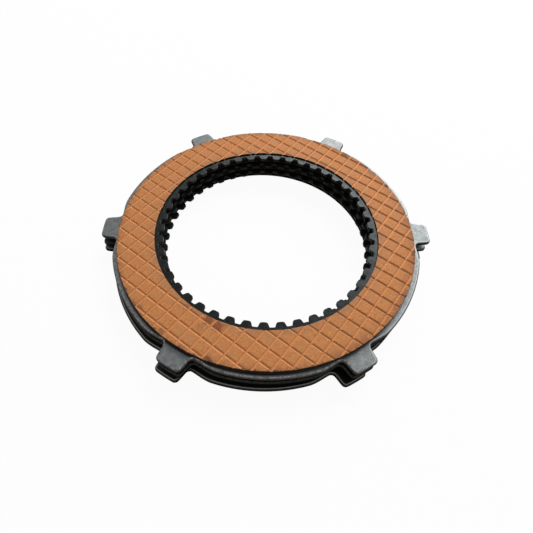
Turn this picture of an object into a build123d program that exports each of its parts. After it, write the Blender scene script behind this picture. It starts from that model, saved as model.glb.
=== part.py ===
from build123d import *
import os
from math import asin, ceil, cos, degrees, hypot, radians, sin

# Clutch disc pack: friction discs and steel plates stacked by turns along +Z.
# The origin is on the common axis, in the plane of the lowest plate's underside.
# Sizes are in millimetres and angles in degrees, turning from +X towards +Y.

# Sintered bronze linings, one bonded to each side of a core
LINING_OUTER_DIAMETER = 160.0
LINING_INNER_DIAMETER = 121.0
LINING_THICKNESS = 0.9

# Grooves pressed into the lining as a square lattice with one crossing on the axis
GROOVE_PITCH = 6.97
GROOVE_WIDTH = 1.5
GROOVE_DEPTH = 0.42
GROOVE_ANGLE = 56.3

# Friction disc cores, with inner teeth that slide on a splined hub
CORE_THICKNESS = 1.6
CORE_RIM_INSET = 0.3
CORE_LAND_WIDTH = 2.0
TOOTH_COUNT = 45
TOOTH_HEIGHT = 2.75
TOOTH_TIP_WIDTH = 3.4
TOOTH_ROOT_WIDTH = 5.5
TOOTH_TIP_CHAMFER = 0.7

# Steel plates, with outer lugs that slide in a slotted drum
PLATE_THICKNESS = 2.7
PLATE_INNER_LIP = 0.5
RIM_OVERHANG = 3.9
LUG_COUNT = 6
LUG_HEIGHT = 6.7
LUG_TIP_WIDTH = 13.2
LUG_BASE_WIDTH = 15.1
LUG_CORNER_CHAMFER = 1.5
LUG_ROOT_CHAMFER = 1.2
RELIEF_MARGIN = 2.2
RELIEF_LENGTH = 12.0

# The loose stack from the top down, a disc and the plate below it at a time:
# the angle of one of the disc's teeth, the angle of one of the plate's lugs,
# and how far the plate lies off the axis
STACK = (
    (7.1, 2.9, (0.2, 1.5)),
    (5.1, 3.0, (-0.2, 1.3)),
    (2.7, 2.0, (-1.4, 0.0)),
)

# How closely a corner's radius is matched when corners are picked for a chamfer
RADIUS_TOLERANCE = 0.001

# Radii that follow from the driving sizes
lining_outer_radius = LINING_OUTER_DIAMETER / 2
lining_inner_radius = LINING_INNER_DIAMETER / 2
core_outer_radius = lining_outer_radius - CORE_RIM_INSET
tooth_root_radius = lining_inner_radius - CORE_LAND_WIDTH
tooth_tip_radius = tooth_root_radius - TOOTH_HEIGHT
plate_inner_radius = lining_inner_radius - PLATE_INNER_LIP
plate_rim_radius = lining_outer_radius + RIM_OVERHANG
lug_tip_radius = plate_rim_radius + LUG_HEIGHT
relief_radius = lining_outer_radius + RELIEF_MARGIN

# Heights that follow from the driving sizes
disc_thickness = CORE_THICKNESS + 2 * LINING_THICKNESS
stack_pitch = disc_thickness + PLATE_THICKNESS
stack_height = len(STACK) * stack_pitch


def polar(radius, angle):
    """Return the point at this radius and angle about the stack's axis."""
    return (radius * cos(radians(angle)), radius * sin(radians(angle)))


def half_angle(width, radius):
    """Return the half angle that a chord of this width spans at this radius."""
    return degrees(asin(width / 2 / radius))


def at_radius(vertices, radius):
    """Choose the vertices that lie at this radius from the stack's axis."""
    return vertices.filter_by(lambda v: abs(hypot(v.X, v.Y) - radius) < RADIUS_TOLERANCE)


def finish(piece, name):
    """Name a finished piece after its node and write its STEP file."""
    piece.part.label = name
    export_step(piece.part, f"parts/{name}.step")


def tooth_profile():
    """Draw one spline tooth: a tapered block with chamfered tips, its root in the core's ring."""
    root = tooth_root_radius + CORE_LAND_WIDTH / 2
    slope = (TOOTH_ROOT_WIDTH - TOOTH_TIP_WIDTH) / 2 / TOOTH_HEIGHT
    buried_width = TOOTH_ROOT_WIDTH + slope * CORE_LAND_WIDTH
    with BuildSketch() as tooth:
        with BuildLine():
            Polyline(
                (root, -buried_width / 2),
                (root, buried_width / 2),
                (tooth_tip_radius, TOOTH_TIP_WIDTH / 2),
                (tooth_tip_radius, -TOOTH_TIP_WIDTH / 2),
                close=True,
            )
        make_face()
        chamfer(tooth.vertices().group_by(Axis.X)[0], length=TOOTH_TIP_CHAMFER)
    return tooth.sketch


def groove_profile():
    """Draw the V section of one groove, its open side on the lining's face."""
    with BuildSketch() as groove:
        with BuildLine():
            Polyline((-GROOVE_WIDTH / 2, 0), (GROOVE_WIDTH / 2, 0), (0, -GROOVE_DEPTH), close=True)
        make_face()
    return groove.sketch


def plate_profile():
    """Draw one plate: a ring whose rim falls to a relief beside each lug."""
    lug_pitch = 360 / LUG_COUNT
    tip_half = half_angle(LUG_TIP_WIDTH, lug_tip_radius)
    base_half = half_angle(LUG_BASE_WIDTH, relief_radius)
    rim_half = base_half + degrees(RELIEF_LENGTH / plate_rim_radius)
    with BuildSketch() as plate:
        with BuildLine():
            for lug in range(LUG_COUNT):
                middle = lug * lug_pitch
                fall = Line(
                    polar(plate_rim_radius, middle - rim_half), polar(relief_radius, middle - base_half)
                )
                flank = Line(fall @ 1, polar(lug_tip_radius, middle - tip_half))
                tip = ThreePointArc(
                    flank @ 1, polar(lug_tip_radius, middle), polar(lug_tip_radius, middle + tip_half)
                )
                far_flank = Line(tip @ 1, polar(relief_radius, middle + base_half))
                rise = Line(far_flank @ 1, polar(plate_rim_radius, middle + rim_half))
                ThreePointArc(
                    rise @ 1,
                    polar(plate_rim_radius, middle + lug_pitch / 2),
                    polar(plate_rim_radius, middle + lug_pitch - rim_half),
                )
        make_face()
        chamfer(at_radius(plate.vertices(), lug_tip_radius), LUG_CORNER_CHAMFER)
        chamfer(at_radius(plate.vertices(), relief_radius), LUG_ROOT_CHAMFER)
        Circle(plate_inner_radius, mode=Mode.SUBTRACT)
    return plate.sketch


def core(name, bottom, tooth_angle, tooth):
    """Make a core: a flat ring with teeth around its bore, one at this angle, and flats between."""
    with BuildPart() as disc:
        with BuildSketch(Plane.XY.offset(bottom)):
            Circle(core_outer_radius)
            RegularPolygon(
                tooth_root_radius,
                TOOTH_COUNT,
                major_radius=False,
                rotation=tooth_angle,
                align=None,
                mode=Mode.SUBTRACT,
            )
            with PolarLocations(0, TOOTH_COUNT, start_angle=tooth_angle):
                add(tooth)
        extrude(amount=CORE_THICKNESS)
    finish(disc, name)


def steel_plate(name, bottom, lug_angle, shift, profile):
    """Make a plain steel plate, one of its lugs at the given angle."""
    lie = Plane(origin=(*shift, bottom), x_dir=(*polar(1, lug_angle), 0), z_dir=(0, 0, 1))
    with BuildPart() as plate:
        with BuildSketch(lie):
            add(profile)
        extrude(amount=PLATE_THICKNESS)
    finish(plate, name)


def groove_cutters(top):
    """Make both sets of parallel V grooves as cutters that reach down from the height top."""
    groove = groove_profile()
    lines_each_side = ceil(lining_outer_radius / GROOVE_PITCH)
    cutters = []
    for angle in (GROOVE_ANGLE, GROOVE_ANGLE + 90):
        run = Vector(*polar(1, angle), 0)
        section = Plane(origin=(0, 0, top), x_dir=Vector(0, 0, 1).cross(run), z_dir=run)
        with BuildPart() as cutter:
            with BuildSketch(section):
                with GridLocations(GROOVE_PITCH, 0, 2 * lines_each_side + 1, 1):
                    add(groove)
            extrude(amount=lining_outer_radius, both=True)
        cutters.append(cutter.part)
    return cutters


def lining(name, bottom, cutters=()):
    """Make a flat lining ring and, where cutters are given, press their grooves into it."""
    with BuildPart() as ring:
        with BuildSketch(Plane.XY.offset(bottom)):
            Circle(lining_outer_radius)
            Circle(lining_inner_radius, mode=Mode.SUBTRACT)
        extrude(amount=LINING_THICKNESS)
        for cutter in cutters:
            add(cutter, mode=Mode.SUBTRACT)
    finish(ring, name)


def main():
    os.makedirs("parts", exist_ok=True)
    tooth = tooth_profile()
    profile = plate_profile()
    for level, (tooth_angle, lug_angle, shift) in enumerate(STACK):
        number = level + 1
        disc_bottom = stack_height - level * stack_pitch - disc_thickness
        core_bottom = disc_bottom + LINING_THICKNESS
        cutters = groove_cutters(stack_height) if level == 0 else ()
        lining(f"upper_lining_{number}", core_bottom + CORE_THICKNESS, cutters)
        core(f"friction_core_{number}", core_bottom, tooth_angle, tooth)
        lining(f"lower_lining_{number}", disc_bottom)
        steel_plate(f"steel_plate_{number}", disc_bottom - PLATE_THICKNESS, lug_angle, shift, profile)


main()
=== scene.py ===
# %% [markdown]
# # A clutch disc pack
# A wet clutch joins two shafts by squeezing a pack of rings. Friction discs
# with inner teeth turn with the hub, and steel plates with outer lugs turn with
# the drum. Here are three of each, laid loosely on a table by turns.
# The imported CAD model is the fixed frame. Every piece below is a finer version
# of one of its nodes, and takes that node's place and height.

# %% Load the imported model
import math
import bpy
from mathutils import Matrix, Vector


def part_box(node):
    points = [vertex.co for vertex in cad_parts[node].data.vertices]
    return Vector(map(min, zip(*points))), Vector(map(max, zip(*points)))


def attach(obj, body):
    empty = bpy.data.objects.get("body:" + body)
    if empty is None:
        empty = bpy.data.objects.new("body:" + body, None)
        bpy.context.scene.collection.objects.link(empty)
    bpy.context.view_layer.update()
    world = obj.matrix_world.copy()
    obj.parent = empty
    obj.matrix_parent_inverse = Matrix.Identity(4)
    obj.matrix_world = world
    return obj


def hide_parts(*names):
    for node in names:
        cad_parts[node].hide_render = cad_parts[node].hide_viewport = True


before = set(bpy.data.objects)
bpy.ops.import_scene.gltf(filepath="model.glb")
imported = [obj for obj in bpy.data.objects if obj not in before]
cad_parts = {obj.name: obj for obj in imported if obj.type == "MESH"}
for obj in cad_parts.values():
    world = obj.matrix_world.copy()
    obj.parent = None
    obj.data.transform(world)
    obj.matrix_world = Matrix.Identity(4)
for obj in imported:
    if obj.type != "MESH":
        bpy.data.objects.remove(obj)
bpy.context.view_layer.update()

from types import SimpleNamespace

import bmesh
import bpy
from mathutils import Matrix

MM = 0.001

# %% [markdown]
# ## The stack
# Each disc or plate is stamped from one die, so each kind is made once and laid
# down three times. What differs is how a person dropped each piece on the pile:
# turned by some angle, and for the plates slid a little off the middle. The
# heights are read from the frame, so that they can never drift away from the
# CAD.

# %% How the pieces lie
# From the top layer down: the angle of one tooth of the disc and of one lug of
# the plate in degrees, and how far the plate lies off the axis in millimetres.
LAYERS = (1, 2, 3)
TOOTH_ANGLES = (7.2, 4.2, 3.6)
LUG_ANGLES = (2.9, 3.0, 2.0)
PLATE_SHIFTS = ((0.2, 1.5), (-0.2, 1.3), (-1.4, 0.0))


def level(node):
    """Return the lowest and highest z of a CAD node, in metres."""
    low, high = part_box(node)
    return low.z, high.z


for layer in LAYERS:
    low, high = level(f"friction_core_{layer}")
    print(f"core {layer} lies from {low / MM:.2f} to {high / MM:.2f} mm")

# %% [markdown]
# ## Wiring nodes in code
# Geometry and shader trees are built from the same few moves: add a node, set
# its options, and feed its inputs with a number or with another node's output.
# Sums are most of the work, and a chain of Math nodes is hard to read in code.
# So a number that comes out of a node is wrapped in a Wire, and a sum written
# with wires, such as radius * 0.5, adds the nodes that work it out.


# %% Helpers for node trees
class Wire:
    """A number that flows through a node tree, and that sums can be written with."""

    def __init__(self, tree, socket):
        self.tree = tree
        self.socket = socket

    def __add__(self, other):
        return calc(self.tree, "ADD", self, other)

    def __sub__(self, other):
        return calc(self.tree, "SUBTRACT", self, other)

    def __rsub__(self, other):
        return calc(self.tree, "SUBTRACT", other, self)

    def __mul__(self, other):
        return calc(self.tree, "MULTIPLY", self, other)

    def __truediv__(self, other):
        return calc(self.tree, "DIVIDE", self, other)

    def __rtruediv__(self, other):
        return calc(self.tree, "DIVIDE", other, self)


def feed(tree, socket, value):
    """Link an output to this input, or several in a list, or write a plain value into it."""
    if isinstance(value, list):
        for one in value:
            feed(tree, socket, one)
    elif isinstance(value, Wire):
        tree.links.new(value.socket, socket)
    elif isinstance(value, bpy.types.NodeSocket):
        tree.links.new(value, socket)
    else:
        socket.default_value = value


def put(tree, kind, values=None, **options):
    """Add a node with these options and input values, and return it."""
    node = tree.nodes.new(kind)
    for name, option in options.items():
        setattr(node, name, option)
    for key, value in (values or {}).items():
        feed(tree, node.inputs[key], value)
    return node


def result(tree, kind, values=None, **options):
    """Add a node and return its first output."""
    return put(tree, kind, values, **options).outputs[0]


def calc(tree, operation, *values):
    """Add one step of arithmetic and return its result."""
    return Wire(tree, result(tree, "ShaderNodeMath", dict(enumerate(values)), operation=operation))


def ease(tree, value, start, end, low=0.0, high=1.0, curve="SMOOTHSTEP"):
    """Turn a value between start and end into one between low and high, softly."""
    values = {"Value": value, "From Min": start, "From Max": end, "To Min": low, "To Max": high}
    return Wire(tree, result(tree, "ShaderNodeMapRange", values, interpolation_type=curve))


def choose(tree, share, first, second):
    """Return the first number where the share is 0 and the second where it is 1."""
    return ease(tree, share, 0.0, 1.0, first, second, curve="LINEAR")


def vector(tree, x=0.0, y=0.0, z=0.0):
    """Join three numbers into a vector."""
    return result(tree, "ShaderNodeCombineXYZ", {"X": x, "Y": y, "Z": z})


def scaled(tree, arrow, factor):
    """Return a vector or a colour times a number."""
    return result(tree, "ShaderNodeVectorMath", {0: arrow, "Scale": factor}, operation="SCALE")


# %% [markdown]
# ## Making a mesh from a Geometry Nodes tree
# A tree starts as a recipe with named inputs. Each input's value is set on the
# modifier by the socket's identifier, because names can repeat and identifiers
# cannot. The evaluated result is then copied into a plain mesh. Cuts that cross
# leave slivers a few millionths of a metre long, and these are closed up. Then
# all faces are turned outwards.


# %% Helpers for geometry trees
SLIVER = 0.002 * MM


def new_tree(name, sizes):
    """Start a tree with these named inputs, and return it with a way to look them up."""
    tree = bpy.data.node_groups.new(name, "GeometryNodeTree")
    tree.interface.new_socket("Geometry", in_out="OUTPUT", socket_type="NodeSocketGeometry")
    for label, value in sizes.items():
        kind = "NodeSocketInt" if isinstance(value, int) else "NodeSocketFloat"
        tree.interface.new_socket(label, in_out="INPUT", socket_type=kind)
    entry = tree.nodes.new("NodeGroupInput")

    def size(label):
        return Wire(tree, entry.outputs[label])

    return tree, size


def finish_tree(tree, geometry, material, smooth=True):
    """End a tree as every one here ends: real geometry, its shading and a material."""
    real = result(tree, "GeometryNodeRealizeInstances", {"Geometry": geometry})
    shading = {"Geometry": real, "Shade Smooth": smooth}
    shaded = result(tree, "GeometryNodeSetShadeSmooth", shading)
    coated = result(tree, "GeometryNodeSetMaterial", {"Geometry": shaded, "Material": material})
    feed(tree, tree.nodes.new("NodeGroupOutput").inputs[0], coated)
    return tree


def grow(tree, sizes):
    """Run a tree once with these sizes and return the mesh that it makes."""
    name = tree.name + "_die"
    blank = bpy.data.objects.new(name, bpy.data.meshes.new(name))
    bpy.context.scene.collection.objects.link(blank)
    modifier = blank.modifiers.new("recipe", "NODES")
    modifier.node_group = tree
    for item in tree.interface.items_tree:
        if item.in_out == "INPUT":
            modifier[item.identifier] = sizes[item.name]
    graph = bpy.context.evaluated_depsgraph_get()
    mesh = bpy.data.meshes.new_from_object(blank.evaluated_get(graph), depsgraph=graph)
    bpy.data.objects.remove(blank)
    shell = bmesh.new()
    shell.from_mesh(mesh)
    bmesh.ops.dissolve_degenerate(shell, dist=SLIVER, edges=shell.edges)
    bmesh.ops.recalc_face_normals(shell, faces=shell.faces)
    loose = sum(1 for edge in shell.edges if len(edge.link_faces) != 2)
    shell.to_mesh(mesh)
    shell.free()
    print(f"{tree.name}: {len(mesh.polygons)} faces, {loose} open edges")
    return mesh


# %% [markdown]
# ## Drawing lines by point number
# A line in a tree starts as a row of points. Each point knows its own number,
# and sums turn that number into a place. So an outline that follows a rule
# needs no list of points, and it follows when a size changes.


# %% Helpers for lines
CORNER_STEPS = 6


def point_number(tree):
    """Return the number of the point that the tree is working on."""
    return Wire(tree, result(tree, "GeometryNodeInputIndex"))


def open_line(tree, count, x, y):
    """Draw a line through this many points, each at its own x and y."""
    row = {"Count": count, "Position": vector(tree, x, y)}
    points = result(tree, "GeometryNodePoints", row)
    return result(tree, "GeometryNodePointsToCurves", {"Points": points})


def closed_line(tree, count, x, y):
    """Draw a line through points and back to its start."""
    line = {"Geometry": open_line(tree, count, x, y), "Cyclic": True}
    return result(tree, "GeometryNodeSetSplineCyclic", line)


def ring_line(tree, count, angle, radius, corner):
    """Draw a closed line through points at these angles and radii, its corners rounded."""
    x = radius * calc(tree, "COSINE", angle)
    y = radius * calc(tree, "SINE", angle)
    bend = {"Curve": closed_line(tree, count, x, y), "Radius": corner, "Count": CORNER_STEPS}
    return result(tree, "GeometryNodeFilletCurve", bend, mode="POLY")


def circle(tree, size, name):
    """Draw a circle with the radius and number of points that go by this name."""
    values = {"Resolution": size(f"{name} points"), "Radius": size(f"{name} radius")}
    return result(tree, "GeometryNodeCurvePrimitiveCircle", values)


def half_angle(tree, width, radius):
    """Return the half angle that a width spans at a radius."""
    return calc(tree, "ARCSINE", width * 0.5 / radius)


# %% [markdown]
# ## One way to make every flat ring
# All twelve pieces are flat rings with a rounded outer edge and a rounded bore.
# A Bevel modifier would slide along whatever edges cross the flat faces and get
# lost on such fine outlines. So the ring is built the way a lathe hand thinks
# of it: a small edge profile is swept along the outer line and along the bore,
# and two flat lids close the top and the bottom.


# %% The flat ring
SEAM = 0.001 * MM


def edge_profile(tree, size, rounding):
    """Make the section of an edge: a quarter turn, a straight wall and a quarter turn back."""
    steps = size("Edge steps")
    index = point_number(tree)
    lower = calc(tree, "GREATER_THAN", index, steps + 0.5)
    own = index - lower * (steps + 1.0)
    turn = (1.0 - (own / steps + lower)) * (math.pi / 2)
    inset = rounding * (calc(tree, "COSINE", turn) - 1.0)
    middle = size("Thickness") * 0.5
    centre = middle + (middle - rounding) * (1.0 - lower * 2.0)
    height = centre + rounding * calc(tree, "SINE", turn)
    return open_line(tree, steps * 2.0 + 2.0, inset, height * -1.0)


def drawn_in(tree, line, rounding):
    """Move a line into the material by the edge's rounding."""
    back = scaled(tree, result(tree, "GeometryNodeInputNormal"), rounding * -1.0)
    return result(tree, "GeometryNodeSetPosition", {"Geometry": line, "Offset": back})


def flat_ring(tree, size, outline, bore, bore_edge="Edge rounding"):
    """Build a closed flat ring between an outline and a bore line, with both edges rounded."""
    bore = result(tree, "GeometryNodeReverseCurve", {"Curve": bore})
    walls, lid_lines = [], []
    for line, rounding in ((outline, size("Edge rounding")), (bore, size(bore_edge))):
        sweep = {"Curve": line, "Profile Curve": edge_profile(tree, size, rounding)}
        walls.append(result(tree, "GeometryNodeCurveToMesh", sweep))
        lid_lines.append(drawn_in(tree, line, rounding))
    lid_edge = result(tree, "GeometryNodeJoinGeometry", {"Geometry": lid_lines})
    lid = result(tree, "GeometryNodeFillCurve", {"Curve": lid_edge}, mode="NGONS")
    under = result(tree, "GeometryNodeFlipFaces", {"Mesh": lid})
    raised = {"Geometry": lid, "Translation": vector(tree, z=size("Thickness"))}
    upper = result(tree, "GeometryNodeTransform", raised)
    shell = result(tree, "GeometryNodeJoinGeometry", {"Geometry": [*walls, under, upper]})
    return result(tree, "GeometryNodeMergeByDistance", {"Geometry": shell, "Distance": SEAM})


# %% [markdown]
# ## Steel plates
# A steel plate is blanked from strip and tumbled, so its edges are well rounded.
# Six lugs stand out from the rim to slide in the drum's slots. Beside each lug
# the rim falls away in a gentle curve, which leaves room for the slot's lips.
# The outline follows a rule, so the tree walks round it by point number: a few
# points on a lug's tip, then a row of points along the rim to the next lug.


# %% The lugged plate
END_SLACK = 0.01


def at_ends(tree, share):
    """Return 1 at both ends of a row, where the share is 0 or 1, and 0 between."""
    from_middle = calc(tree, "ABSOLUTE", share - 0.5)
    return calc(tree, "COMPARE", from_middle, 0.5, END_SLACK)


def lugged_plate_tree(material):
    """Build the tree of the steel plate."""
    tree, size = new_tree("lugged_plate", PLATE)
    index = point_number(tree)
    per_lug = size("Tip points") + size("Rim points")
    here = calc(tree, "FLOORED_MODULO", index, per_lug)
    lug = calc(tree, "FLOOR", index / per_lug)
    pitch = math.tau / size("Lugs")

    tip_half = half_angle(tree, size("Tip width"), size("Tip radius"))
    base_half = half_angle(tree, size("Base width"), size("Relief radius"))
    on_tip = calc(tree, "LESS_THAN", here, size("Tip points") - 0.5)
    off_tip = 1.0 - on_tip
    tip_share = here / (size("Tip points") - 1.0)
    tip_angle = tip_half * (tip_share * 2.0 - 1.0)

    rim_share = (here - size("Tip points")) / (size("Rim points") - 1.0)
    rim_span = pitch - base_half * 2.0
    rim_angle = base_half + rim_share * rim_span
    from_lug = calc(tree, "MINIMUM", rim_share, 1.0 - rim_share) * rim_span
    fall = size("Relief length") / size("Rim radius")
    rim_radius = ease(tree, from_lug, 0.0, fall, size("Relief radius"), size("Rim radius"))

    angle = on_tip * tip_angle + off_tip * rim_angle + lug * pitch
    radius = on_tip * size("Tip radius") + off_tip * rim_radius
    tip_corner = on_tip * at_ends(tree, tip_share) * size("Tip corner")
    root_corner = off_tip * at_ends(tree, rim_share) * size("Root corner")
    outline = ring_line(tree, per_lug * size("Lugs"), angle, radius, tip_corner + root_corner)
    ring = flat_ring(tree, size, outline, circle(tree, size, "Bore"), bore_edge="Bore rounding")
    return finish_tree(tree, ring, material)


plate_low, plate_high = level("steel_plate_1")
PLATE = {
    "Lugs": 6,
    "Tip points": 5,
    "Rim points": 31,
    "Bore points": 240,
    "Edge steps": 5,
    "Thickness": plate_high - plate_low,
    "Rim radius": 83.9 * MM,
    "Relief radius": 82.2 * MM,
    "Relief length": 13.0 * MM,
    "Tip radius": 90.6 * MM,
    "Tip width": 13.2 * MM,
    "Base width": 15.1 * MM,
    "Tip corner": 2.4 * MM,
    "Root corner": 2.2 * MM,
    "Bore radius": 59.7 * MM,
    "Edge rounding": 1.2 * MM,
    "Bore rounding": 0.25 * MM,
}
steel = bpy.data.materials.new("tumbled_plate_steel")
plate_die = grow(lugged_plate_tree(steel), PLATE)

# %% [markdown]
# ## Friction disc cores
# The core is a thin steel disc that carries a lining on each side. All that
# shows of it is the toothed band in the bore. The 45 teeth slide on the hub's
# splines. A tooth is a tapered block with a rounded tip and small root corners,
# and the outline needs only four points for each: two on the tip, which are
# numbers 0 and 1, and two at the roots on either side of the next gap.


# %% The toothed core
POINTS_PER_TOOTH = 4.0
LAST_TIP_POINT = 1.0
GAP_END_POINT = 3.0
NUMBER_SLACK = 0.1


def toothed_core_tree(material):
    """Build the tree of the friction disc's core."""
    tree, size = new_tree("toothed_core", CORE)
    index = point_number(tree)
    here = calc(tree, "FLOORED_MODULO", index, POINTS_PER_TOOTH)
    tooth = calc(tree, "FLOOR", index / POINTS_PER_TOOTH)
    pitch = math.tau / size("Teeth")
    at_root = calc(tree, "GREATER_THAN", here, LAST_TIP_POINT + 0.5)
    tip_half = half_angle(tree, size("Tip width"), size("Tip radius"))
    root_half = half_angle(tree, size("Root width"), size("Root radius"))
    half = choose(tree, at_root, tip_half, root_half)
    before = calc(tree, "COMPARE", here, 0.0, NUMBER_SLACK)
    after_gap = calc(tree, "COMPARE", here, GAP_END_POINT, NUMBER_SLACK)
    sign = 1.0 - (before + after_gap) * 2.0
    angle = (tooth + after_gap) * pitch + sign * half
    radius = choose(tree, at_root, size("Tip radius"), size("Root radius"))
    corner = choose(tree, at_root, size("Tip corner"), size("Root corner"))
    bore = ring_line(tree, size("Teeth") * POINTS_PER_TOOTH, angle, radius, corner)
    return finish_tree(tree, flat_ring(tree, size, circle(tree, size, "Rim"), bore), material)


core_low, core_high = level("friction_core_1")
CORE = {
    "Teeth": 45,
    "Rim points": 240,
    "Edge steps": 2,
    "Thickness": core_high - core_low,
    "Rim radius": 79.7 * MM,
    "Root radius": 58.8 * MM,
    "Tip radius": 56.15 * MM,
    "Tip width": 3.6 * MM,
    "Root width": 5.6 * MM,
    "Tip corner": 1.4 * MM,
    "Root corner": 0.6 * MM,
    "Edge rounding": 0.18 * MM,
}
core_steel = bpy.data.materials.new("blued_core_steel")
core_die = grow(toothed_core_tree(core_steel), CORE)

# %% [markdown]
# ## Grooved linings
# The linings are sintered bronze: metal powder pressed hot onto the core, with a
# waffle of shallow V grooves that carries oil across the face. The grooves are
# cut here as they would be on a shaper. One long bar with the groove's section
# is repeated at the pitch, a second set is turned by a right angle, and both
# sets are cut out of a plain ring. The crossings then come out right by
# themselves.


# %% The grooved lining
ROOT_SHARE = 1.2
LIFT_SHARE = 0.06
BAR_OVERRUN = 1.1


def groove_bar(tree, size):
    """Make one long cutter with a V section, its bottom and its shoulders softened."""
    half = size("Groove width") * 0.5
    share = point_number(tree) / (size("Section points") - 1.0)
    across = (half + size("Shoulder")) * (share * 2.0 - 1.0)
    root = size("Shoulder") * ROOT_SHARE
    wall = (calc(tree, "SQRT", across * across + root * root) - half) / half
    lift = size("Groove depth") * LIFT_SHARE
    height = calc(tree, "SMOOTH_MIN", wall * size("Groove depth"), lift, size("Shoulder"))
    section = closed_line(tree, size("Section points"), across, height * -1.0)
    run = size("Outer radius") * BAR_OVERRUN
    ends = {"Start": vector(tree, run * -1.0), "End": vector(tree, run)}
    rail = result(tree, "GeometryNodeCurvePrimitiveLine", ends)
    sweep = {"Curve": rail, "Profile Curve": section, "Fill Caps": True}
    bar = result(tree, "GeometryNodeCurveToMesh", sweep)
    return result(tree, "GeometryNodeFlipFaces", {"Mesh": bar})


def groove_cutters(tree, size):
    """Repeat the bar at the pitch, and return the row at the grooves' angle and across it."""
    span = size("Pitch") * (size("Grooves") - 1.0)
    row = {
        "Count": size("Grooves"),
        "Start Location": vector(tree, y=span * -0.5),
        "Offset": vector(tree, y=size("Pitch")),
    }
    points = result(tree, "GeometryNodeMeshLine", row)
    repeat = {"Points": points, "Instance": groove_bar(tree, size)}
    instances = result(tree, "GeometryNodeInstanceOnPoints", repeat)
    bars = result(tree, "GeometryNodeRealizeInstances", {"Geometry": instances})
    lift = vector(tree, z=size("Thickness"))
    cutters = []
    for quarter_turn in (0.0, math.pi / 2):
        spin = vector(tree, z=size("Angle") + quarter_turn)
        placed = {"Geometry": bars, "Translation": lift, "Rotation": spin}
        cutters.append(result(tree, "GeometryNodeTransform", placed))
    return cutters


def grooved_lining_tree(material):
    """Build the tree of one lining, its grooves in the upper face."""
    tree, size = new_tree("grooved_lining", LINING)
    ring = flat_ring(tree, size, circle(tree, size, "Outer"), circle(tree, size, "Bore"))
    meshes = {"Mesh 1": ring, "Mesh 2": groove_cutters(tree, size)}
    way = {"operation": "DIFFERENCE", "solver": "MANIFOLD"}
    cut = result(tree, "GeometryNodeMeshBoolean", meshes, **way)
    return finish_tree(tree, cut, material, smooth=False)


lining_low, lining_high = level("upper_lining_1")
LINING = {
    "Outer points": 300,
    "Bore points": 240,
    "Edge steps": 2,
    "Section points": 12,
    "Grooves": 23,
    "Thickness": lining_high - lining_low,
    "Outer radius": 80.0 * MM,
    "Bore radius": 60.5 * MM,
    "Edge rounding": 0.12 * MM,
    "Pitch": 6.97 * MM,
    "Groove width": 1.46 * MM,
    "Groove depth": 0.69 * MM,
    "Shoulder": 0.08 * MM,
    "Angle": math.radians(56.3),
}
bronze = bpy.data.materials.new("sintered_bronze")
lining_die = grow(grooved_lining_tree(bronze), LINING)

# %% [markdown]
# ## Laying the stack
# Each piece is a copy of its die's mesh. The turn, the slide and the height go
# into the mesh itself, so every object stays at the origin. A lower lining is
# the same ring turned over, by half a turn about X rather than by a mirror,
# which would turn it inside out. The core's and the plate's normals are weighted
# by face area, so that a large flat face stays flat in the shading right up to
# its rounded edge. That modifier is applied before the piece is handed to the
# frame.


# %% Lay the pieces
FLAT_FACE_WEIGHT = 100


def weigh_normals(mesh):
    """Return the mesh with its normals weighted by face area, so that flat faces stay flat."""
    rough = bpy.data.objects.new("rough", mesh)
    bpy.context.scene.collection.objects.link(rough)
    weighted = rough.modifiers.new("flat faces", "WEIGHTED_NORMAL")
    weighted.weight = FLAT_FACE_WEIGHT
    graph = bpy.context.evaluated_depsgraph_get()
    done = bpy.data.meshes.new_from_object(rough.evaluated_get(graph), depsgraph=graph)
    bpy.data.objects.remove(rough)
    return done


def lay(name, die, node, turn, shift=(0.0, 0.0), over=False):
    """Lay a copy of a die's mesh where its CAD node lies, and let it stand for that node."""
    low, high = level(node)
    mesh = die.copy()
    place = Matrix.Translation((shift[0] * MM, shift[1] * MM, low))
    place = place @ Matrix.Rotation(math.radians(turn), 4, "Z")
    if over:
        place = place @ Matrix.Translation((0.0, 0.0, high - low))
        place = place @ Matrix.Rotation(math.pi, 4, "X")
    mesh.transform(place)
    done = weigh_normals(mesh) if mesh.polygons[0].use_smooth else mesh
    piece = bpy.data.objects.new(name, done)
    bpy.context.scene.collection.objects.link(piece)
    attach(piece, "root")
    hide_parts(node)
    done.calc_loop_triangles()
    print(f"{name}: {len(done.loop_triangles)} triangles")


LINING_TURNS = ((0.0, 24.0), (41.0, 67.0), (12.0, 83.0))
for layer, tooth, lug, shift, turns in zip(
    LAYERS, TOOTH_ANGLES, LUG_ANGLES, PLATE_SHIFTS, LINING_TURNS
):
    upper, core = f"upper_lining_{layer}", f"friction_core_{layer}"
    lower, plate = f"lower_lining_{layer}", f"steel_plate_{layer}"
    lay(f"{upper}_grooved", lining_die, upper, turns[0])
    lay(f"{core}_toothed", core_die, core, tooth)
    lay(f"{lower}_grooved", lining_die, lower, turns[1], over=True)
    lay(f"{plate}_tumbled", plate_die, plate, lug, shift)

# %% [markdown]
# ## Finishes
# All patterns are written in millimetres on Object coordinates. The pieces sit
# at the origin, so a pattern stays where it is whatever the camera does, and
# two pieces made from one die still differ, because they lie at other heights.
# Most of a finish is a chain of blends: a base colour, then one thing after
# another that happened to the metal, and painted shade and highlights where the
# light falls, each with its own place and share.

# %% Helpers for finishes
# A Mix node has inputs for numbers, vectors and colours. These are the colours'.
MIX_FIRST, MIX_SECOND, MIX_RESULT = 6, 7, 2


def blend(tree, share, first, second):
    """Mix two colours by a share."""
    node = put(tree, "ShaderNodeMix", {0: share}, data_type="RGBA")
    for key, colour in ((MIX_FIRST, first), (MIX_SECOND, second)):
        feed(tree, node.inputs[key], (*colour, 1.0) if isinstance(colour, tuple) else colour)
    return node.outputs[MIX_RESULT]


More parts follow.
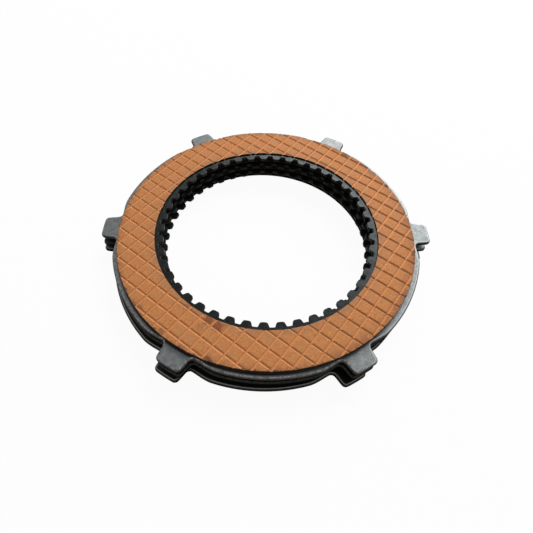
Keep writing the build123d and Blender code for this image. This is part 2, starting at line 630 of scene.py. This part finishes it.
def start_finish(material):
    """Clear a material and return its tree, its shader and a position in millimetres."""
    material.use_nodes = True
    tree = material.node_tree
    tree.nodes.clear()
    shader = put(tree, "ShaderNodeBsdfPrincipled")
    put(tree, "ShaderNodeOutputMaterial", {"Surface": shader.outputs[0]})
    place = put(tree, "ShaderNodeTexCoord").outputs["Object"]
    return tree, shader, scaled(tree, place, 1.0 / MM)


def end_finish(material, shader, values):
    """Feed the shader's inputs and say how many nodes the finish took."""
    for key, value in values.items():
        feed(material.node_tree, shader.inputs[key], value)
    print(f"{material.name}: {len(material.node_tree.nodes)} nodes")


def speckle(tree, place, size, detail=3.0):
    """Return a noise whose blotches are about this many millimetres wide."""
    values = {"Vector": place, "Scale": 1.0 / size, "Detail": detail, "Roughness": 0.55}
    return Wire(tree, result(tree, "ShaderNodeTexNoise", values))


def bump(tree, height, depth):
    """Return a surface direction with bumps that are this many millimetres deep."""
    return result(tree, "ShaderNodeBump", {"Height": height, "Distance": depth * MM})


# %% [markdown]
# ## Where on the stack is a point?
# A stamped ring is bright where its flat faces are rubbed and dark on its walls,
# where oil and scale stay on, and painted shade darkens the parts that lie in
# shadow. In a stack of equal layers that needs no painting by hand: the height
# within one layer tells how far a point lies below the nearest face of its ring,
# and that depth drives the change from face to wall. The distance from the axis
# finds the rims and bores in the same way.

# %% Places on the stack
plate_bottom, plate_top = level("steel_plate_3")
core_bottom, core_top = level("friction_core_3")
STACK_PITCH = round((level("steel_plate_2")[0] - plate_bottom) / MM, 3)
PLATE_TOP = round(plate_top / MM, 3)
CORE_BOTTOM = round(core_bottom / MM, 3)
CORE_TOP = round(core_top / MM, 3)
TOP_LINING_BOTTOM = round(lining_low / MM, 3)
LAYER_MARGIN = 0.5
print(f"a layer is {STACK_PITCH} mm high, a plate {PLATE_TOP} mm")


def split(tree, place):
    """Return the x, y and z of a position."""
    outputs = put(tree, "ShaderNodeSeparateXYZ", {0: place}).outputs
    return [Wire(tree, socket) for socket in outputs]


def height_above(tree, z, bottom):
    """Return how far a height lies above the under face of its own layer's ring."""
    from_start = z - (bottom - LAYER_MARGIN)
    return calc(tree, "FLOORED_MODULO", from_start, STACK_PITCH) - LAYER_MARGIN


def face_depth(tree, z, bottom, top):
    """Return how far a height lies below the nearer flat face of its own layer's ring."""
    height = height_above(tree, z, bottom)
    return calc(tree, "MINIMUM", height, (top - bottom) - height)


def flattened(tree, place):
    """Return a position without its height."""
    values = {0: place, 1: (1.0, 1.0, 0.0)}
    return result(tree, "ShaderNodeVectorMath", values, operation="MULTIPLY")


def axis_distance(tree, place):
    """Return a point's distance from the stack's axis."""
    reach = put(tree, "ShaderNodeVectorMath", {0: flattened(tree, place)}, operation="LENGTH")
    return Wire(tree, reach.outputs["Value"])


# %% [markdown]
# ## Stains in places of their own
# Heat marks and greasy finger marks are not spread evenly, so noise alone can't
# place them. Each is a round spot in x and y whose edge is pushed about by
# noise, which makes it ragged.

# %% Spots
# Each spot's x, y and size in millimetres, and how much of it shows
HEAT_SPOTS = (
    (-24.6, -57.4, 3.2, 0.85),
    (-19.8, -60.2, 3.4, 0.85),
    (-28.0, -61.2, 2.6, 0.25),
    (-36.0, -51.0, 2.4, 0.3),
)
SMUDGES = (
    (46.2, 63.8, 3.4, 0.7),
    (78.2, -11.8, 2.4, 0.85),
    (78.8, -14.6, 1.6, 0.7),
    (-22.8, -76.2, 2.4, 0.8),
    (-45.0, -63.5, 2.2, 0.5),
    (-58.0, -53.0, 2.0, 0.5),
)
RAGGEDNESS = {"Scale": 0.7, "Detail": 2.0}
SOFT_EDGE = 0.45


def spot(tree, place, x, y, size, share):
    """Return the share of one ragged spot of this size around a point, on any height."""
    wobble = put(tree, "ShaderNodeTexNoise", {"Vector": place, **RAGGEDNESS}).outputs["Color"]
    push = {0: wobble, 1: (size, size, 0.0), 2: place}
    moved = result(tree, "ShaderNodeVectorMath", push, operation="MULTIPLY_ADD")
    middle = (x + 0.5 * size, y + 0.5 * size, 0.0)
    pair = {0: flattened(tree, moved), 1: middle}
    away = put(tree, "ShaderNodeVectorMath", pair, operation="DISTANCE").outputs["Value"]
    return ease(tree, away, size, SOFT_EDGE * size, 0.0, share)


# %% [markdown]
# ## Sintered bronze
# The lining is powder pressed and baked, so it has grain, flecks and pits but no
# brushed lines. Rubbing cleans the pads, and heat greys them near the bore and
# browns them near the rim. A groove is lighter than its pad. In the grooves,
# painted shade darkens the bottom and the side away from the light, and a painted
# highlight lightens the side towards it. The thin walls of the lining are painted
# near black as shade, and where two rings meet, painted shade darkens the gap
# and the lower discs' rims.

# %% Bronze colours and places
BRONZE_TONES = {
    "dark grain": (0.515, 0.199, 0.059),
    "light grain": (0.748, 0.308, 0.102),
    "fleck": (0.435, 0.163, 0.05),
    "pit": (0.2, 0.075, 0.028),
    "cloud": (0.52, 0.24, 0.105),
    "greyed": (0.34, 0.18, 0.10),
    "browned": (0.25, 0.10, 0.045),
    "brown side": (0.36, 0.135, 0.055),
    "heat": (0.23, 0.062, 0.022),
    "smudge": (0.13, 0.055, 0.03),
    "groove": (0.76, 0.343, 0.135),
    "groove shade": (0.15, 0.048, 0.017),
    "groove highlight": (0.97, 0.47, 0.2),
    "shaded groove root": (0.3, 0.115, 0.042),
    "chip": (0.11, 0.042, 0.022),
    "shaded wall": (0.024, 0.015, 0.010),
    "gap shade": (0.02, 0.011, 0.007),
    "shaded lower rim": (0.12, 0.06, 0.035),
}

# Ranges in millimetres, from where a thing starts to where it is whole: radii,
# the side to the right, depths below the face, and heights
LINING_RIM = LINING["Outer radius"] / MM
LINING_BORE = LINING["Bore radius"] / MM
NEAR_BORE = (66.5, 61.0)
NEAR_RIM = (76.0, 80.0)
BROWN_BAND, BROWN_SIDE = (73.5, 79.0), (15.0, 55.0)
SHADED_BORE, SHADED_RIM = (64.0, 62.5), (77.0, 78.5)
CHIP_LIMITS = (LINING_RIM + 0.1, LINING_RIM - 0.9)
CHIP_SOFTNESS = (-0.5, 0.1)
OUTER_WALL = (LINING_RIM - 0.1, LINING_RIM)
INNER_WALL = (LINING_BORE + 0.18, LINING_BORE + 0.05)
GROOVE_DEPTHS, ROOT_DEPTHS = (0.02, 0.2), (0.4, 0.6)
BELOW_TOP_LINING = (TOP_LINING_BOTTOM, TOP_LINING_BOTTOM - 0.05)
LOWER_DISCS, LOWER_RIM = (13.0, 12.5), (79.0, 79.6)

# Painted shade and a painted highlight in the two sets of grooves: dark streaks
# in a groove's middle and on its side away from the light, and a light streak on
# its side towards the light. Each row says which set, how far beside the
# groove's middle, the streak's half width, the depths at which it sets in, the
# axis along which it grows, from where to where and from which share to which,
# and its colour.
GROOVE_STREAKS = (
    ("second", 0.0, (0.6, 0.25), (0.15, 0.45), "x", (0.0, 60.0), (0.05, 0.5), "groove shade"),
    ("first", -0.35, (0.65, 0.35), (0.03, 0.12), "y", (-60.0, 25.0), (0.0, 0.55), "groove highlight"),
    ("first", 0.5, (0.5, 0.2), (0.05, 0.15), "x", (-20.0, -60.0), (0.0, 0.2), "groove shade"),
)


# %% The pads
def bronze_pads(tree, place, radius, x):
    """Return the colour of the pads and the two noises that the skin's bumps share."""
    grain = speckle(tree, place, 0.35)
    fleck = speckle(tree, place, 1.3, detail=2.0)
    cloud = speckle(tree, place, 7.0)
    pit = speckle(tree, place, 0.8, detail=1.0)
    scorch = speckle(tree, place, 4.5)
    dark, light = BRONZE_TONES["dark grain"], BRONZE_TONES["light grain"]
    pad = blend(tree, ease(tree, grain, 0.35, 0.65), dark, light)

    near_bore = ease(tree, radius, *NEAR_BORE)
    near_rim = ease(tree, radius, *NEAR_RIM)
    brown_side = ease(tree, radius, *BROWN_BAND) * ease(tree, x, *BROWN_SIDE)
    for share, colour in (
        (ease(tree, fleck, 0.34, 0.66, 0.0, 0.5), "fleck"),
        (ease(tree, pit, 0.65, 0.73, 0.0, 0.75), "pit"),
        (ease(tree, cloud, 0.42, 0.66, 0.0, 0.4), "cloud"),
        (near_bore * ease(tree, scorch, 0.35, 0.6, 0.1, 0.6), "greyed"),
        (near_rim * ease(tree, scorch, 0.4, 0.65, 0.1, 0.65), "browned"),
        (brown_side * ease(tree, scorch, 0.35, 0.6, 0.15, 0.8), "brown side"),
    ):
        pad = blend(tree, share, pad, BRONZE_TONES[colour])
    for colour, spots in (("heat", HEAT_SPOTS), ("smudge", SMUDGES)):
        for one in spots:
            pad = blend(tree, spot(tree, place, *one), pad, BRONZE_TONES[colour])
    return pad, grain, fleck


# %% The grooves
def bronze_grooves(tree, colour, x, y, depth):
    """Blend the grooves' own colour over the pads, and their painted shade and highlight."""
    in_groove = ease(tree, depth, *GROOVE_DEPTHS, 0.0, 0.8)
    colour = blend(tree, in_groove, colour, BRONZE_TONES["groove"])
    cosine, sine = math.cos(LINING["Angle"]), math.sin(LINING["Angle"])
    beside = {"first": y * cosine - x * sine, "second": x * cosine + y * sine}
    along = {"x": x, "y": y}
    half_pitch = LINING["Pitch"] / MM / 2
    for lines, offset, width, depths, axis, span, shares, name in GROOVE_STREAKS:
        off_line = calc(tree, "PINGPONG", beside[lines] - offset, half_pitch)
        streak = ease(tree, off_line, *width) * ease(tree, depth, *depths)
        streak = streak * ease(tree, along[axis], *span, *shares)
        # Each streak is painted shade or a painted highlight on one side of a groove.
        colour = blend(tree, streak, colour, BRONZE_TONES[name])
    return colour


# %% The whole lining
def finish_bronze():
    """Matt, grainy bronze: tan pads, grooves with painted shade and highlight, darker edges, walls
    painted near black as shade.
    """
    tree, shader, place = start_finish(bronze)
    x, y, z = split(tree, place)
    radius = axis_distance(tree, place)
    depth = face_depth(tree, z, PLATE_TOP, STACK_PITCH)
    pad, grain, fleck = bronze_pads(tree, place, radius, x)
    colour = bronze_grooves(tree, pad, x, y, depth)

    past_chips = radius - ease(tree, speckle(tree, place, 1.6), 0.5, 0.72, *CHIP_LIMITS)
    # The lining's thin outer and inner walls are painted near black as shade.
    walls = calc(tree, "MAXIMUM", ease(tree, radius, *OUTER_WALL), ease(tree, radius, *INNER_WALL))
    # Painted shade where the lower linings lie between other rings, near the bore and the rim.
    edges = calc(tree, "MAXIMUM", ease(tree, radius, *SHADED_BORE), ease(tree, radius, *SHADED_RIM))
    for share, name in (
        (ease(tree, past_chips, *CHIP_SOFTNESS, 0.0, 0.85), "chip"),
        # painted shade at the bottom of the grooves
        (ease(tree, depth, *ROOT_DEPTHS, 0.0, 0.12), "shaded groove root"),
        (walls, "shaded wall"),
        (ease(tree, z, *BELOW_TOP_LINING) * edges, "gap shade"),
        # painted shade on the rims of the lower discs, under the plates
        (ease(tree, z, *LOWER_DISCS) * ease(tree, radius, *LOWER_RIM), "shaded lower rim"),
    ):
        colour = blend(tree, share, colour, BRONZE_TONES[name])
    end_finish(bronze, shader, {
        "Base Color": colour,
        "Metallic": 0.08,
        "Specular IOR Level": 0.25,
        "Roughness": 0.68,
        "Normal": bump(tree, grain + fleck * 1.5, 0.03),
    })


finish_bronze()

# %% [markdown]
# ## Plate steel
# The plates were tumbled, which leaves a cloudy satin and knocks on the rounded
# edges. Where a plate lies open it is plain grey steel, with a painted highlight,
# partly wear, at the start of its rounded edges, brighter on the lit right side,
# and a thin painted highlight along the lowest plate's edge. Where a plate lies
# under other rings, painted shade makes it nearly black, and the lining's painted
# shadow darkens the top plate's rim beside it. The walls are matt, because a
# glossy or metallic wall would mirror the white floor and turn bright. So
# metallic and specular both fall off from face to wall.

# %% Plate colours
PLATE_TONES = {
    "dark mottle": (0.095, 0.102, 0.102),
    "light mottle": (0.135, 0.146, 0.146),
    "lining_shadow": (0.02, 0.02, 0.018),
    "shaded lower plates": (0.011, 0.0105, 0.0095),
    "knock": (0.035, 0.036, 0.034),
    "edge highlight and wear": (0.2, 0.21, 0.21),
    "lit edge highlight": (0.33, 0.34, 0.34),
    "lowest edge highlight": (0.12, 0.125, 0.12),
    "dark film": (0.06, 0.056, 0.050),
    "light film": (0.11, 0.082, 0.062),
    "shaded lower wall": (0.0095, 0.009, 0.008),
    "lit wall": (0.012, 0.012, 0.011),
    "shaded bore wall": (0.024, 0.021, 0.016),
    "shaded bore foot": (0.004, 0.0036, 0.003),
}

# Ranges in millimetres, from where a thing starts to where it is whole: heights,
# radii, places to the right, and depths below the plate's upper face
TOP_PLATE, LOWER_PLATES, LOWEST_PLATE = (11.5, 12.0), (11.5, 11.0), (5.0, 4.5)
UNDER_LINING, PLATE_BORE = (81.3, 80.2), (66.0, 63.0)
SHADOWED_SIDE, LIT_RIGHT_RANGE = (50.0, 5.0), (35.0, 65.0)
LIT_SIDE, LIT_HEIGHTS = (66.0, 82.0), (4.5, 5.5)
OFF_FACE, PLATE_WALL = (0.0, 0.03), (0.08, 0.75)
EDGE_HIGHLIGHT_DEPTHS, LOWEST_EDGE_HIGHLIGHT_DEPTHS = (0.3, 0.1), (0.18, 0.08)


# %% Mottled steel
def mottle(tree, place, dark, light, contrast):
    """Return a steel colour with a cloudy mottle and fine grit, and both noises."""
    cloud = speckle(tree, place, 3.0)
    fine = speckle(tree, place, 0.5)
    grit = 1.0 - ease(tree, fine, 0.35, 0.65, -contrast, contrast)
    colour = blend(tree, ease(tree, cloud, 0.3, 0.7), dark, light)
    return scaled(tree, colour, grit), fine, cloud


# %% The plates' faces and rounded edges
def plate_faces(tree, place, colour, at):
    """Blend painted shade, knocks and painted edge highlights over the mottled steel of a plate's
    upper side.
    """
    # Painted shadow of the top lining on the top plate's rim, strongest on the left.
    lining_shadow = ease(tree, at.z, *TOP_PLATE) * ease(tree, at.radius, *UNDER_LINING)
    off_face = ease(tree, at.over, *OFF_FACE)
    knock = speckle(tree, place, 1.1, detail=2.0)
    # On the lit right side the edge highlight is painted brighter and the knocks fade.
    lit_right_side = ease(tree, at.x, *LIT_RIGHT_RANGE)
    knocked = off_face * ease(tree, knock, 0.42, 0.6, 0.55, 0.0) * (1.0 - lit_right_side)
    # A painted highlight, partly wear: the start of the top plate's rounded edge is painted
    # lighter.
    edge_highlight = off_face * ease(tree, at.over, *EDGE_HIGHLIGHT_DEPTHS) * (1.0 - at.lower)
    rub_and_lit_side = calc(tree, "MAXIMUM", ease(tree, knock, 0.4, 0.62, 0.1, 1.0), lit_right_side)
    edge = blend(tree, lit_right_side, PLATE_TONES["edge highlight and wear"], PLATE_TONES["lit edge highlight"])
    # A painted highlight: a thin light line along the lowest plate's rounded edge.
    lowest = off_face * ease(tree, at.over, *LOWEST_EDGE_HIGHLIGHT_DEPTHS) * at.lowest
    for share, tone in (
        (lining_shadow * ease(tree, at.x, *SHADOWED_SIDE, 0.3, 1.0), PLATE_TONES["lining_shadow"]),
        # painted shade: the lower plates' faces nearly black, except on the lit side
        (at.lower * (1.0 - at.lit_side), PLATE_TONES["shaded lower plates"]),
        (knocked, PLATE_TONES["knock"]),
        (edge_highlight * rub_and_lit_side, edge),
        (lowest, PLATE_TONES["lowest edge highlight"]),
    ):
        colour = blend(tree, share, colour, tone)
    return colour


# %% The plates' walls
def plate_walls(tree, cloud, at):
    """Return the colour of a plate's walls: an oily film, with painted shade on the lower plates
    and in the bore, and near-black walls on the lit side.
    """
    stained = ease(tree, cloud, 0.4, 0.62)
    film = blend(tree, stained, PLATE_TONES["dark film"], PLATE_TONES["light film"])
    # Painted shade: nearly black walls on the lower plates and in the bore, darkest at the lowest
    # plate's foot.
    in_bore = ease(tree, at.radius, *PLATE_BORE)
    for share, name in (
        (at.lower, "shaded lower wall"),
        (at.lit_side, "lit wall"),
        (in_bore, "shaded bore wall"),
        (in_bore * at.lowest, "shaded bore foot"),
    ):
        film = blend(tree, share, film, PLATE_TONES[name])
    return film


# %% The whole plate
def finish_plate():
    """Tumbled steel with an oily film: painted edge highlights, painted shade by the lining and on
    the lower plates, matt dark walls.
    """
    tree, shader, place = start_finish(steel)
    x, _, z = split(tree, place)
    at = SimpleNamespace(
        x=x,
        z=z,
        radius=axis_distance(tree, place),
        over=PLATE_TOP - height_above(tree, z, 0.0),
        lower=ease(tree, z, *LOWER_PLATES),
        lowest=ease(tree, z, *LOWEST_PLATE),
        lit_side=ease(tree, x, *LIT_SIDE) * ease(tree, z, *LIT_HEIGHTS),
    )
    mottled, fine, cloud = mottle(
        tree, place, PLATE_TONES["dark mottle"], PLATE_TONES["light mottle"], contrast=0.12
    )
    wall = ease(tree, at.over, *PLATE_WALL)
    faces = plate_faces(tree, place, mottled, at)
    end_finish(steel, shader, {
        "Base Color": blend(tree, wall, faces, plate_walls(tree, cloud, at)),
        "Metallic": ease(tree, wall, 0.3, 1.0, 1.0, 0.0),
        "Specular IOR Level": ease(tree, wall, 0.3, 1.0, 0.5, 0.0),
        "Roughness": ease(tree, fine, 0.2, 0.8, 0.38, 0.5),
        "Normal": bump(tree, fine, 0.012),
    })


finish_plate()

# %% [markdown]
# ## Core steel
# The cores are hardened and blued, so their teeth are a dark satin. The band
# mirrors the room, which is lighter to the back, and a gentle ramp in y paints
# more of that reflection into the colour. The walls between the teeth hold
# brown-black oil. They are all but matt, for the same reason as the plates'
# walls. The lower cores' faces and walls are painted darker as shade.

# %% Core colours
CORE_TONES = {
    "dark mottle": (0.014, 0.0155, 0.0155),
    "light mottle": (0.022, 0.0245, 0.0245),
    "top wall": (0.022, 0.0195, 0.0145),
    "shaded lower wall": (0.0165, 0.015, 0.0115),
    "shaded lowest wall": (0.006, 0.0055, 0.0045),
}
LOWER_CORE_SHADE = 0.35
LOWER_CORE_DULLNESS = 0.2

# Ranges in millimetres: heights, from front to back, and depths below a face
LOWER_CORES, LOWEST_CORE = (15.0, 14.0), (8.0, 7.0)
FRONT_TO_BACK = (-52.0, 50.0)
CORE_WALL = (0.05, 0.22)


# %% The cores
def finish_core():
    """Blued steel: satin faces with a painted reflection towards the back and painted shade lower
    down, and brown-black walls.
    """
    tree, shader, place = start_finish(core_steel)
    _, y, z = split(tree, place)
    mottled, fine, _ = mottle(
        tree, place, CORE_TONES["dark mottle"], CORE_TONES["light mottle"], contrast=0.14
    )
    lower = ease(tree, z, *LOWER_CORES)
    # A painted reflection that grows to the back, and painted shade on the lower cores.
    shade = ease(tree, y, *FRONT_TO_BACK, 0.73, 1.35) - lower * LOWER_CORE_SHADE
    # Painted shade: the walls are darker on the lower cores and darkest on the lowest.
    film = blend(tree, lower, CORE_TONES["top wall"], CORE_TONES["shaded lower wall"])
    film = blend(tree, ease(tree, z, *LOWEST_CORE), film, CORE_TONES["shaded lowest wall"])
    wall = ease(tree, face_depth(tree, z, CORE_BOTTOM, CORE_TOP), *CORE_WALL)
    end_finish(core_steel, shader, {
        "Base Color": blend(tree, wall, scaled(tree, mottled, shade), film),
        "Metallic": 1.0 - wall,
        "Specular IOR Level": ease(tree, wall, 0.0, 1.0, 0.5, 0.04),
        "Roughness": ease(tree, fine, 0.2, 0.8, 0.25, 0.37) + lower * LOWER_CORE_DULLNESS,
        "Normal": bump(tree, fine, 0.012),
    })


finish_core()

# %% [markdown]
# ## Floor
# The floor is plain white. What the camera and the reflections see of it is
# mostly a plain glow, as on a light table, so that it comes out white without
# more light on the pack. The rest of its finish is matt paint, which keeps the
# pack's own soft shadow.

# %% Floor
WHITE = (1.0, 1.0, 1.0, 1.0)
FLOOR_GLOW = 0.95
FLOOR_REACH = 2.0


def seen_directly(tree):
    """Return 1 for a ray from the camera or from a reflection, and 0 for one that only lights."""
    path = put(tree, "ShaderNodeLightPath").outputs
    mirror = calc(tree, "MAXIMUM", path["Is Glossy Ray"], path["Is Transmission Ray"])
    return calc(tree, "MAXIMUM", path["Is Camera Ray"], mirror)


def plain_floor():
    """Lay a wide white floor."""
    signs = ((-1, -1), (1, -1), (1, 1), (-1, 1))
    corners = [(x * FLOOR_REACH, y * FLOOR_REACH, 0.0) for x, y in signs]
    mesh = bpy.data.meshes.new("floor")
    mesh.from_pydata(corners, [], [(0, 1, 2, 3)])
    floor = bpy.data.objects.new("floor", mesh)
    bpy.context.scene.collection.objects.link(floor)
    paper = bpy.data.materials.new("white_floor")
    paper.use_nodes = True
    tree = paper.node_tree
    tree.nodes.clear()
    matt = result(tree, "ShaderNodeBsdfDiffuse", {"Color": WHITE})
    glow = result(tree, "ShaderNodeEmission", {"Color": WHITE, "Strength": 1.0})
    share = seen_directly(tree) * FLOOR_GLOW
    mixed = result(tree, "ShaderNodeMixShader", {0: share, 1: matt, 2: glow})
    put(tree, "ShaderNodeOutputMaterial", {"Surface": mixed})
    mesh.materials.append(paper)
    print(f"{floor.name}: {2 * FLOOR_REACH} m wide, {FLOOR_GLOW:.0%} of what shows is glow")


plain_floor()

# %% [markdown]
# ## Light
# One large soft box stands behind the pack to the right, and the world fills
# the rest. Each level is the brightness that the light alone gives to a white
# sheet lying on the floor. Together they come to about 0.9, so a colour renders
# about as it is written. The camera and the reflections see a white world.

# %% Lights
KEY_LEVEL = 0.67
WORLD_LEVEL = 0.22


def soft_box(name, azimuth, elevation, distance, size, strength):
    """Hang a square soft box, and set its power from the level that it gives on the floor."""
    lamp = bpy.data.lights.new(name, "AREA")
    lamp.size = size
    lamp.energy = strength * math.pi**2 * distance**2 / math.sin(math.radians(elevation))
    box = bpy.data.objects.new(name, lamp)
    turn = Matrix.Rotation(math.radians(azimuth + 90.0), 4, "Z")
    tilt = Matrix.Rotation(math.radians(90.0 - elevation), 4, "X")
    box.matrix_world = turn @ tilt @ Matrix.Translation((0.0, 0.0, distance))
    bpy.context.scene.collection.objects.link(box)
    print(f"{name}: {lamp.energy:.1f} W from {azimuth} degrees round and {elevation} up")


def white_world():
    """Fill the world with soft light, and let the camera and reflections see it white."""
    world = bpy.data.worlds.new("studio")
    bpy.context.scene.world = world
    world.use_nodes = True
    air = world.node_tree
    background = air.nodes["Background"]
    feed(air, background.inputs["Color"], WHITE)
    feed(air, background.inputs["Strength"], choose(air, seen_directly(air), WORLD_LEVEL, 1.0))


soft_box("key_box", azimuth=68.0, elevation=38.0, distance=2.0, size=1.5, strength=KEY_LEVEL)
white_world()

# %% [markdown]
# ## Camera
# A wide lens stands close by and looks down steeply, which is why the near lugs
# look larger than the far ones. A very small lens shift centres the pack.

# %% Camera
CAMERA_PLACE = (0.001011, -0.135822, 0.184742)
CAMERA_TILT = 33.516
CAMERA_ROLL = 3.524

lens = bpy.data.cameras.new("camera")
lens.lens = 26.414
lens.sensor_width = 36.0
lens.clip_start = 0.01
lens.shift_x = -0.0007
lens.shift_y = 0.0006
camera = bpy.data.objects.new("camera", lens)
tilt = Matrix.Rotation(math.radians(CAMERA_TILT), 4, "X")
roll = Matrix.Rotation(math.radians(CAMERA_ROLL), 4, "Z")
camera.matrix_world = Matrix.Translation(CAMERA_PLACE) @ tilt @ roll
bpy.context.scene.collection.objects.link(camera)
bpy.context.scene.camera = camera
bpy.context.scene.view_settings.view_transform = "Standard"
print(f"camera: a {lens.lens:.1f} mm lens, {CAMERA_PLACE[2]} m above the floor")
